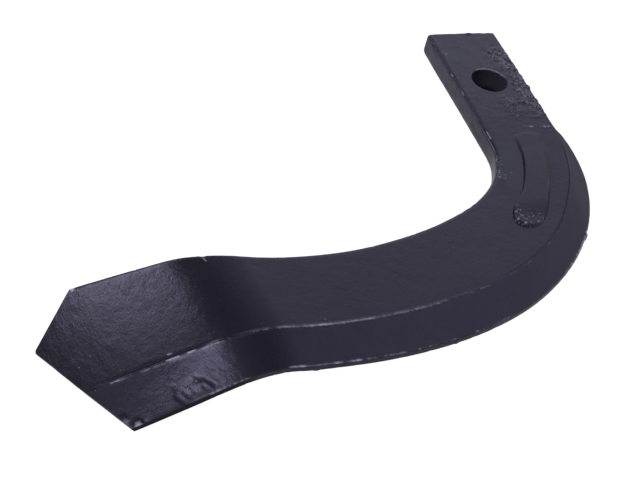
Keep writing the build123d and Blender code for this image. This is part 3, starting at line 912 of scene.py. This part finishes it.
# painted highlight on the upper edge of the die's step
wear_and_highlight = np.maximum(wear_and_highlight, die2 * 0.9)
wear_and_highlight = np.maximum(wear_and_highlight, blob(-156.2, -110.0, 1.9) * facing_up * 0.8)
wear_and_highlight = np.maximum(wear_and_highlight, tip_edge * facing_up * 0.5 * step(noise(blank / 2.3, 74), 0.0, 0.5))
wear_and_highlight = np.maximum(wear_and_highlight, blob(-162.4, -59.0, 1.3) * 0.9 * upper_half)
# painted highlight on the upper right side of the hole's rim
hole_rim = np.exp(-((hole_d - (HOLE_R + 0.28)) / 0.30) ** 2) * (blank[:, 2] > 3.2)
wear_and_highlight = np.maximum(wear_and_highlight, hole_rim * 0.85 * step(X * 0.45 + Y * 0.89, 2.5, 5.0))

across_hole = (X * 0.932 - Y * 0.306) / HOLE_R
speck = 0.12 * in_shank
speck = np.maximum(speck, tear * 0.85)
speck = np.maximum(speck, dent * 0.75)
speck = np.maximum(speck, 0.98 * np.maximum(blob(-17.4, -68.2, 6.0), blob(-12.8, -69.0, 4.2)) * upper_half)
for x, y, r, a in ((-13.7, -39.2, 2.0, 0.9), (-16.0, -48.0, 3.6, 0.95), (-12.0, -46.9, 1.4, 0.8), (-46.5, -79.0, 2.6, 0.6), (-37.8, -77.7, 1.4, 0.6),
                   (-55.9, -68.7, 1.6, 0.7), (-48.0, -73.9, 1.4, 0.6), (-95.2, -101.7, 1.8, 0.8), (-160.1, -66.5, 3.0, 0.5), (-155.6, -69.3, 3.2, 0.3),
                   (-167.2, -66.0, 3.0, 0.3), (-166.3, -82.9, 5.0, 0.45), (-169.1, -75.9, 3.0, 0.4), (-145.9, -88.7, 2.2, 0.3), (-119.8, -78.4, 1.4, 0.7),
                   (-11.3, 15.8, 2.4, 0.95), (-11.2, 12.6, 1.4, 0.8), (8.0, 19.0, 4.0, 0.5), (-139.2, -107.6, 3.6, 0.8), (-163.0, -75.0, 6.0, 0.42), (-160.0, -84.0, 6.0, 0.36), (-165.0, -92.0, 5.0, 0.40), (-152.0, -92.0, 4.5, 0.30), (-14.6, -41.8, 2.2, 0.95), (-15.9, -45.4, 2.0, 0.95), (-17.6, -63.6, 2.2, 0.95)):
    speck = np.maximum(speck, a * blob(x, y, r) * facing_up)

# painted shade: darker colour in the groove above the ridge, the crease, the dent's gouge and arc, the scribed line and
# the hollows of the torn skin
painted_shade = np.clip(0.9 * above * groove + 0.25 * crease + 0.8 * gouge + 0.45 * scribe + 0.55 * tear * step(-ridged, -0.2, 0.7), 0, 1)
# painted shade on the scoop's inner side, the tip's edges, the outer side under the scoop, raised faces and round the
# dent
painted_shade = np.maximum(painted_shade, 0.95 * np.exp(-((U - 0.15) / 0.50) ** 2) * step(blank_normal[:, 2], -0.2, 0.2) * step(-X, 108, 120) * step(X, -163, -160.5))
painted_shade = np.maximum(painted_shade, 0.6 * tip_edge * step(-tip_d, -0.45, -0.1) * step(noise(blank / 2.9, 75), -0.5, 0.3))
painted_shade = np.maximum(painted_shade, 0.9 * step(-X, 116, 126) * step(-from_outer, -0.12, -0.02) * step(-blank_normal[:, 2], -0.25, 0.0))
painted_shade = np.maximum(painted_shade, 0.16 * step(blank[:, 2] - FACE, 0.95, 1.25) * step(T, 8, 20) * facing_up)
painted_shade = np.maximum(painted_shade, 0.8 * arc)
painted_shade = np.maximum(painted_shade, 0.8 * stroke(-143.0, -109.0, -140.8, -111.9, 0.9) * upper_half)
painted_shade = np.maximum(painted_shade, 0.75 * step(-from_outer, -1.9, -0.4) * upper_half * step(-X, 138.5, 141) * step(X, -156, -151))
painted_shade = np.maximum(painted_shade, 0.45 * stroke(-137.5, -110.7, -133.5, -111.2, 0.7) * upper_half)

# painted shade on one half of the hole's wall
painted_shade = np.where((hole_d < HOLE_R + 0.12) & (blank[:, 2] < TOP - 0.1), 0.65 * step(-across_hole, 0.0, 0.7), painted_shade)

on_rib = step(data[:, 2] - Section(T).upper(U), 0.02, 0.10) * (T > 2) * (data[:, 2] > 2.5)
# painted shade on the rib's upper part
painted_shade = np.maximum(painted_shade, 0.32 * on_rib * step(-T, -24, -9) * facing_up)

mesh = bpy.data.meshes.new("blade_body")
mesh.from_pydata((place * MM).tolist(), [], faces)
for name, values in (("wear_and_highlight", wear_and_highlight), ("speck", speck), ("painted_shade", painted_shade), ("scoop", in_scoop * facing_up * (0.45 + 0.55 * face_side)), ("shank", in_shank), ("tear", tear)):
    mesh.attributes.new(name, "FLOAT", "POINT").data.foreach_set("value", np.clip(values, 0, 1).astype(np.float32))
mesh.attributes.new("flow", "FLOAT_VECTOR", "POINT").data.foreach_set("vector", np.stack([T + (0.52 * step(X, -158, -132) - 0.10) * (U - 20) * in_scoop, U, data[:, 2]], 1).astype(np.float32).ravel())
# masks for painted shade lines on the shank's crease and along the scribed ridge by the rib
mesh.attributes.new("lines", "FLOAT_VECTOR", "POINT").data.foreach_set("vector", np.stack([from_ridge, step(T, 9, 15) * (0.18 + 0.82 * step(X, -17, -6)) * step(X, -48, -34) * facing_up,
                                                                                       in_shank * facing_up], 1).astype(np.float32).ravel())
# painted light: a lighter colour on the face left of the rib, on the bevel right of it and along the inner edge by the
# rib
pale = np.maximum(step(-np.hypot((X + 8) / 12, (Y + 46) / 24), -1.0, -0.2), 0.8 * step(-np.hypot((X - 12) / 9, (Y + 58) / 28), -1.0, -0.3)) * facing_up
pale *= 1 - on_rib
pale = np.maximum(pale, 0.9 * (U < 0.3) * step(T, 6, 12) * step(-T, -50, -40))
# painted light on one half of the hole's wall
inside = (hole_d < HOLE_R + 0.12) & (blank[:, 2] < TOP - 0.1)
pale = np.where(inside, step(across_hole, -0.5, 0.4), pale)
mesh.attributes.new("pale", "FLOAT", "POINT").data.foreach_set("value", np.clip(pale, 0, 1).astype(np.float32))
# mask of the groove above the scoop's ridge, where a painted shade line goes
mesh.attributes.new("groove", "FLOAT", "POINT").data.foreach_set("value", (groove * facing_up).astype(np.float32))
mesh.update()
# sides, the scoop's upper rim and the hole's wall get darker, less glossy copies of the paint as painted shade
centre_n = np.zeros(len(mesh.polygons) * 3, np.float32)
mesh.polygons.foreach_get("normal", centre_n)
centre = np.array([data[f, :3].mean(0) for f in faces])
face_blank_n = np.array([blank_normal[f].mean(0) for f in faces])
kinds = np.zeros(len(faces), np.int32)
kinds[np.abs(face_blank_n[:, 2]) < 0.5] = 1
outer_side = np.array([(OUT_U[f] - U[f]).mean() < 0.35 and T[f].mean() > 12 for f in faces])
kinds[(kinds == 1) & outer_side] = 2
upper_rim = np.array([U[f].mean() < 0.42 and -161 < X[f].mean() < -112 for f in faces]) & (face_blank_n[:, 2] > -0.2)
kinds[upper_rim] = 2
kinds[(np.hypot(centre[:, 0], centre[:, 1]) < HOLE_R + 0.12) & (np.abs(centre[:, 2]) < TOP - 0.1)] = 3
mesh.polygons.foreach_set("material_index", kinds)
mesh.polygons.foreach_set("use_smooth", np.ones(len(faces), bool))
mesh.update()
blade = bpy.data.objects.new("blade_body", mesh)
bpy.context.scene.collection.objects.link(blade)


def calc(tree, op, a, b=None, c=None):
    node = tree.nodes.new("ShaderNodeMath")
    node.operation = op
    for k, v in enumerate((a, b, c)):
        if v is None:
            continue
        if isinstance(v, (int, float)):
            node.inputs[k].default_value = v
        else:
            tree.links.new(v, node.inputs[k])
    return node.outputs[0]


def paint_material(name, shine, rough, shade_darkening, violet=1.0, flecks=0.0):
    """Thin black paint over forged steel: grain, specks, lighter steel where an edge is rubbed, painted highlights,
    painted light and painted shade, and a darkening factor for shaded copies.
    """
    mat = bpy.data.materials.new(name)
    mat.use_nodes = True
    tree = mat.node_tree
    b = tree.nodes["Principled BSDF"]

    def link(a, c):
        tree.links.new(a, c)

    def attribute(n, vector=False):
        node = tree.nodes.new("ShaderNodeAttribute")
        node.attribute_name = n
        return node.outputs["Vector" if vector else "Fac"]

    def scaled(vec, scale):
        node = tree.nodes.new("ShaderNodeVectorMath")
        node.operation = "MULTIPLY"
        link(vec, node.inputs[0])
        node.inputs[1].default_value = scale
        return node.outputs[0]

    def cloud(vec, scale, detail=2.0, rough_=0.5, distort=0.0):
        node = tree.nodes.new("ShaderNodeTexNoise")
        link(scaled(vec, (scale,) * 3 if isinstance(scale, (int, float)) else scale), node.inputs["Vector"])
        node.inputs["Scale"].default_value = 1
        node.inputs["Detail"].default_value = detail
        node.inputs["Roughness"].default_value = rough_
        node.inputs["Distortion"].default_value = distort
        return node.outputs["Fac"]

    def soft(x, lo, hi, a=0.0, c=1.0):
        node = tree.nodes.new("ShaderNodeMapRange")
        node.interpolation_type = "SMOOTHSTEP"
        for k, v in (("From Min", lo), ("From Max", hi), ("To Min", a), ("To Max", c)):
            node.inputs[k].default_value = v
        link(x, node.inputs["Value"])
        return node.outputs["Result"]

    def blend(fac, a, c):
        node = tree.nodes.new("ShaderNodeMix")
        node.data_type = "RGBA"
        link(fac, node.inputs[0])
        for sock, v in ((node.inputs[6], a), (node.inputs[7], c)):
            if isinstance(v, tuple):
                sock.default_value = v
            else:
                link(v, sock)
        return node.outputs[2]

    place_ = tree.nodes.new("ShaderNodeTexCoord").outputs["Object"]
    mm = scaled(place_, (1000, 1000, 1000))
    flow_ = attribute("flow", True)
    wear_and_highlight_, speck_, painted_shade_, scoop_, shank_, tear_ = (attribute(n) for n in ("wear_and_highlight", "speck", "painted_shade", "scoop", "shank", "tear"))

    broad, mid_, fine, finer = cloud(mm, 0.06, 3), cloud(mm, 0.35, 3), cloud(mm, 1.0, 2, 0.6), cloud(mm, 2.2, 1)
    stroke_fine = cloud(flow_, (1.15, 0.45, 0), 3, 0.65, 0.3)
    stroke_mid = cloud(flow_, (0.42, 0.15, 0), 2, 0.55, 0.4)

    base = blend(soft(broad, 0.3, 0.7), (0.0150 * shade_darkening, 0.0135 * shade_darkening, 0.0195 * shade_darkening * violet, 1),
                 (0.0200 * shade_darkening, 0.0175 * shade_darkening, 0.0255 * shade_darkening * violet, 1))
    base = blend(soft(mid_, 0.42, 0.72, 0, 0.35), base, (0.010 * shade_darkening, 0.009 * shade_darkening, 0.012 * shade_darkening, 1))
    base = blend(soft(finer, 0.35, 0.75, 0, 0.30), base, (0.030 * shade_darkening, 0.027 * shade_darkening, 0.037 * shade_darkening, 1))
    if flecks:
        base = blend(soft(cloud(mm, 1.1, 3, 0.7), 0.52, 0.72, 0, flecks), base, (0.085, 0.082, 0.095, 1))
    base = blend(calc(tree, "MULTIPLY", soft(cloud(mm, 0.8, 3, 0.65), 0.45, 0.68), calc(tree, "MULTIPLY", shank_, 0.45)), base, (0.035, 0.032, 0.045, 1))
    # painted light: a lighter colour where the pale mask is set
    base = blend(soft(attribute("pale"), 0.0, 1.0), base, (0.0335 * shade_darkening, 0.0312 * shade_darkening, 0.0435 * shade_darkening, 1))
    # light specks where scale or grit shows through
    dots = soft(calc(tree, "ADD", cloud(mm, 1.35, 2, 0.7), calc(tree, "ADD", calc(tree, "MULTIPLY", speck_, 0.21), calc(tree, "MULTIPLY", tear_, 0.065))),
                0.745, 0.81)
    base = blend(calc(tree, "MULTIPLY", dots, 0.85), base, (0.27, 0.26, 0.31, 1))
    # rubbed steel and painted highlights: a lighter colour along rubbed edges and glinting ridges
    rub_and_highlight = soft(calc(tree, "ADD", calc(tree, "MULTIPLY", wear_and_highlight_, 0.8), calc(tree, "MULTIPLY", calc(tree, "SUBTRACT", fine, 0.5), 0.55)), 0.16, 0.74)
    rub_and_highlight = calc(tree, "MULTIPLY", rub_and_highlight, soft(wear_and_highlight_, 0.03, 0.25))
    base = blend(calc(tree, "MULTIPLY", rub_and_highlight, 0.92), base, (0.34, 0.33, 0.40, 1))
    # painted highlight: a near-white colour where the mask is strongest
    base = blend(soft(wear_and_highlight_, 0.75, 0.98, 0, 0.8), base, (0.66, 0.65, 0.72, 1))
    # painted shade: near-black colour where the shade mask is set
    base = blend(calc(tree, "MULTIPLY", painted_shade_, 0.85), base, (0.003, 0.0028, 0.0035, 1))
    # fine dark lines painted as shade: the shank's crease, the scribed ridge by the rib, and the groove by the ridge on
    # the scoop
    def part_of(vec, axis):
        node = tree.nodes.new("ShaderNodeSeparateXYZ")
        link(vec, node.inputs[0])
        return node.outputs[axis]

    def line(x, at, width, amount):
        off = calc(tree, "ABSOLUTE", calc(tree, "ADD", calc(tree, "SUBTRACT", x, at), calc(tree, "MULTIPLY", calc(tree, "SUBTRACT", cloud(mm, 0.5, 2), 0.5), 0.35)))
        return calc(tree, "MULTIPLY", soft(off, 0.0, width, 1.0, 0.0), amount)

    lines_ = attribute("lines", True)
    ridge_x, u_x = part_of(lines_, 0), part_of(flow_, 1)
    painted_shade_line = calc(tree, "MAXIMUM", line(ridge_x, -0.16, 0.26, calc(tree, "MULTIPLY", part_of(lines_, 1), 0.75)),
                     line(u_x, 1.15, 0.26, calc(tree, "MULTIPLY", part_of(lines_, 2), 0.95)))
    painted_shade_line = calc(tree, "MAXIMUM", painted_shade_line, line(ridge_x, -0.50, 0.62, calc(tree, "MULTIPLY", attribute("groove"), 1.0)))
    base = blend(painted_shade_line, base, (0.002, 0.0018, 0.0025, 1))
    link(base, b.inputs["Base Color"])

    r = calc(tree, "ADD", rough, calc(tree, "MULTIPLY", calc(tree, "SUBTRACT", mid_, 0.5), 0.14))
    r = calc(tree, "ADD", r, calc(tree, "MULTIPLY", calc(tree, "SUBTRACT", fine, 0.5), 0.10))
    r = calc(tree, "ADD", r, calc(tree, "MULTIPLY", painted_shade_, 0.45))
    r = calc(tree, "ADD", r, calc(tree, "MULTIPLY", painted_shade_line, 0.5))
    r = calc(tree, "ADD", r, calc(tree, "MULTIPLY", shank_, 0.04))
    r = calc(tree, "ADD", r, calc(tree, "MULTIPLY", dots, 0.15))
    link(r, b.inputs["Roughness"])

    h = calc(tree, "MULTIPLY", calc(tree, "SUBTRACT", fine, 0.5), 26e-6)
    h = calc(tree, "ADD", h, calc(tree, "MULTIPLY", calc(tree, "SUBTRACT", finer, 0.5), 9e-6))
    h = calc(tree, "ADD", h, calc(tree, "MULTIPLY", calc(tree, "SUBTRACT", mid_, 0.5), 40e-6))
    extra = calc(tree, "MULTIPLY", calc(tree, "SUBTRACT", stroke_fine, 0.5), 28e-6)
    extra = calc(tree, "ADD", extra, calc(tree, "MULTIPLY", calc(tree, "SUBTRACT", stroke_mid, 0.5), 42e-6))
    h = calc(tree, "ADD", h, calc(tree, "MULTIPLY", extra, scoop_))
    rugged = calc(tree, "MULTIPLY", calc(tree, "SUBTRACT", fine, 0.5), 190e-6)
    h = calc(tree, "ADD", h, calc(tree, "MULTIPLY", rugged, calc(tree, "MAXIMUM", tear_, calc(tree, "MULTIPLY", shank_, 0.26))))
    h = calc(tree, "ADD", h, calc(tree, "MULTIPLY", dots, 22e-6))
    bump = tree.nodes.new("ShaderNodeBump")
    bump.inputs["Strength"].default_value = 1
    bump.inputs["Distance"].default_value = 1
    link(h, bump.inputs["Height"])
    link(bump.outputs["Normal"], b.inputs["Normal"])
    b.inputs["Specular IOR Level"].default_value = shine
    b.inputs["Specular Tint"].default_value = (0.75, 0.70, 1.0, 1)
    return mat


mesh.materials.append(paint_material("black_satin_paint", 0.5, 0.20, 1.0))
# darker, less glossy copies of the paint as painted shade on the sides, the edge faces and the hole's wall
mesh.materials.append(paint_material("black_paint_shaded_sides", 0.20, 0.42, 0.90, 1.6, 0.45))
mesh.materials.append(paint_material("black_paint_shaded_edges", 0.16, 0.50, 0.85, 1.2))
mesh.materials.append(paint_material("black_paint_shaded_hole", 0.14, 0.60, 0.80, 1.1))
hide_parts("tiller_blade")
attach(blade, "root")

# ---------------------------------------------------------------------------------------------------------------
# Floor, light and camera
# ---------------------------------------------------------------------------------------------------------------
scene = bpy.context.scene
scene.view_settings.view_transform = "Standard"
floor_z = cad_box[0][2] - 0.00002
floor_mesh = bpy.data.meshes.new("floor")
size = 2.5
floor_mesh.from_pydata([(-size, -size, floor_z), (size, -size, floor_z), (size, size, floor_z), (-size, size, floor_z)], [], [(0, 1, 2, 3)])
floor = bpy.data.objects.new("floor", floor_mesh)
scene.collection.objects.link(floor)
pale = bpy.data.materials.new("pale_floor")
pale.use_nodes = True
pb = pale.node_tree.nodes["Principled BSDF"]
pb.inputs["Base Color"].default_value = (0.3, 0.3, 0.3, 1)
pb.inputs["Roughness"].default_value = 0.9
pb.inputs["Emission Color"].default_value = (1, 1, 1, 1)
pb.inputs["Emission Strength"].default_value = 0.92
floor_mesh.materials.append(pale)

# a pale round wall behind everything, which lights nothing
wall_mesh = bpy.data.meshes.new("backdrop")
ring = [(2.45 * math.cos(k * math.pi / 48), 2.45 * math.sin(k * math.pi / 48)) for k in range(96)]
levels = (floor_z, 0.6, 1.4, 2.4)
wall_points = [(x, y, z) for z in levels for x, y in ring] + [(0, 0, 2.9)]
wall_faces = [(96 * j + k, 96 * j + 96 + k, 96 * j + 96 + (k + 1) % 96, 96 * j + (k + 1) % 96) for j in range(3) for k in range(96)]
wall_faces += [(288 + k, 384, 288 + (k + 1) % 96) for k in range(96)]
wall_mesh.from_pydata(wall_points, [], wall_faces)
backdrop = bpy.data.objects.new("backdrop", wall_mesh)
scene.collection.objects.link(backdrop)
white = bpy.data.materials.new("pale_wall")
white.use_nodes = True
wb = white.node_tree.nodes["Principled BSDF"]
wb.inputs["Base Color"].default_value = (0, 0, 0, 1)
wb.inputs["Specular IOR Level"].default_value = 0
wb.inputs["Emission Color"].default_value = (1, 1, 1, 1)
wb.inputs["Emission Strength"].default_value = 0.99
wall_mesh.materials.append(white)
backdrop.visible_diffuse = backdrop.visible_glossy = backdrop.visible_transmission = backdrop.visible_shadow = False

world = bpy.data.worlds.new("studio")
scene.world = world
world.use_nodes = True
nt = world.node_tree
bg = nt.nodes["Background"]
coord = nt.nodes.new("ShaderNodeTexCoord")


def soft_light(az, el, tight, strength):
    """A round soft light in the sky at compass angle az and height el."""
    a, e = math.radians(az), math.radians(el)
    dot = nt.nodes.new("ShaderNodeVectorMath")
    dot.operation = "DOT_PRODUCT"
    nt.links.new(coord.outputs["Generated"], dot.inputs[0])
    dot.inputs[1].default_value = (math.sin(a) * math.cos(e), math.cos(a) * math.cos(e), math.sin(e))
    near = calc(nt, "EXPONENT", calc(nt, "MULTIPLY", calc(nt, "SUBTRACT", dot.outputs["Value"], 1), tight))
    return calc(nt, "MULTIPLY", near, strength)


SKY = [(32, 27, 14, 0.80), (0, 30, 14, 0.66), (66, 10, 14, 0.20), (95, 25, 12, 0.64), (100, 58, 12, 0.54), (30, 55, 10, 0.10),
       (150, 60, 8, 0.42), (-130, 15, 8, 0.5), (-12, 50, 12, 0.10), (-57, 22, 45, 0.08), (-88, 27, 35, 0.42), (135, 14, 10, 0.40), (180, 28, 9, 0.18), (-135, 30, 9, 0.10)]
total = calc(nt, "ADD", 0.015, 0.015)
for light in SKY:
    total = calc(nt, "ADD", total, soft_light(*light))
nt.links.new(total, bg.inputs["Strength"])
bg.inputs["Color"].default_value = (0.90, 0.90, 1.05, 1)


def panel(name, centre, aim, width, height, radiance, colour, roll=0.0):
    """A flat soft light that faces aim, both in millimetres."""
    lamp = bpy.data.lights.new(name, "AREA")
    lamp.shape = "RECTANGLE"
    lamp.size, lamp.size_y = width * MM, height * MM
    lamp.energy = radiance * math.pi * width * height * MM * MM
    lamp.color = colour
    ob = bpy.data.objects.new(name, lamp)
    scene.collection.objects.link(ob)
    c, t = Vector(centre) * MM, Vector(aim) * MM
    ob.matrix_world = Matrix.Translation(c) @ (t - c).to_track_quat("-Z", "Y").to_matrix().to_4x4() @ Matrix.Rotation(math.radians(roll), 4, "Z")
    ob.visible_camera = False
    return ob


def wall_panel(name, az, reach, side_from, side_to, low, high, radiance, roll=0.0):
    """An upright panel at a distance from the scoop, in direction az, with its sides and its ends' heights."""
    a = math.radians(az)
    out, side = Vector((math.sin(a), math.cos(a), 0)), Vector((-math.cos(a), math.sin(a), 0))
    o = Vector((-150, -80, -20))
    c = o + out * reach + side * (side_from + side_to) / 2 + Vector((0, 0, (low + high) / 2))
    panel(name, c, c - out * 100, abs(side_to - side_from), high - low, radiance, (0.91, 0.92, 1.0), roll)


wall_panel("panel_left_back", -57.1, 250, -260, -25, 94, 160, 4.9)
wall_panel("panel_left_back_edge", -57.1, 250, -25, -8, 102, 171, 1.7)
wall_panel("panel_left_back_end", -57.1, 250, -8, 20, 112, 176, 0.65)
wall_panel("panel_left", -95, 250, 13, 80, -18, 186, 4.7)

cam_data = bpy.data.cameras.new("camera")
cam = bpy.data.objects.new("camera", cam_data)
scene.collection.objects.link(cam)
x_axis, y_axis, z_axis = (0.932156, -0.305998, 0.193523), (0.070986, 0.678597, 0.731072), (-0.355031, -0.667736, 0.65428)
cam.matrix_world = Matrix(((x_axis[0], y_axis[0], z_axis[0], -0.241793), (x_axis[1], y_axis[1], z_axis[1], -0.364462),
                           (x_axis[2], y_axis[2], z_axis[2], 0.290464), (0, 0, 0, 1)))
cam_data.sensor_width = 36
cam_data.lens = 84.375
cam_data.clip_start, cam_data.clip_end = 0.01, 20
scene.camera = cam
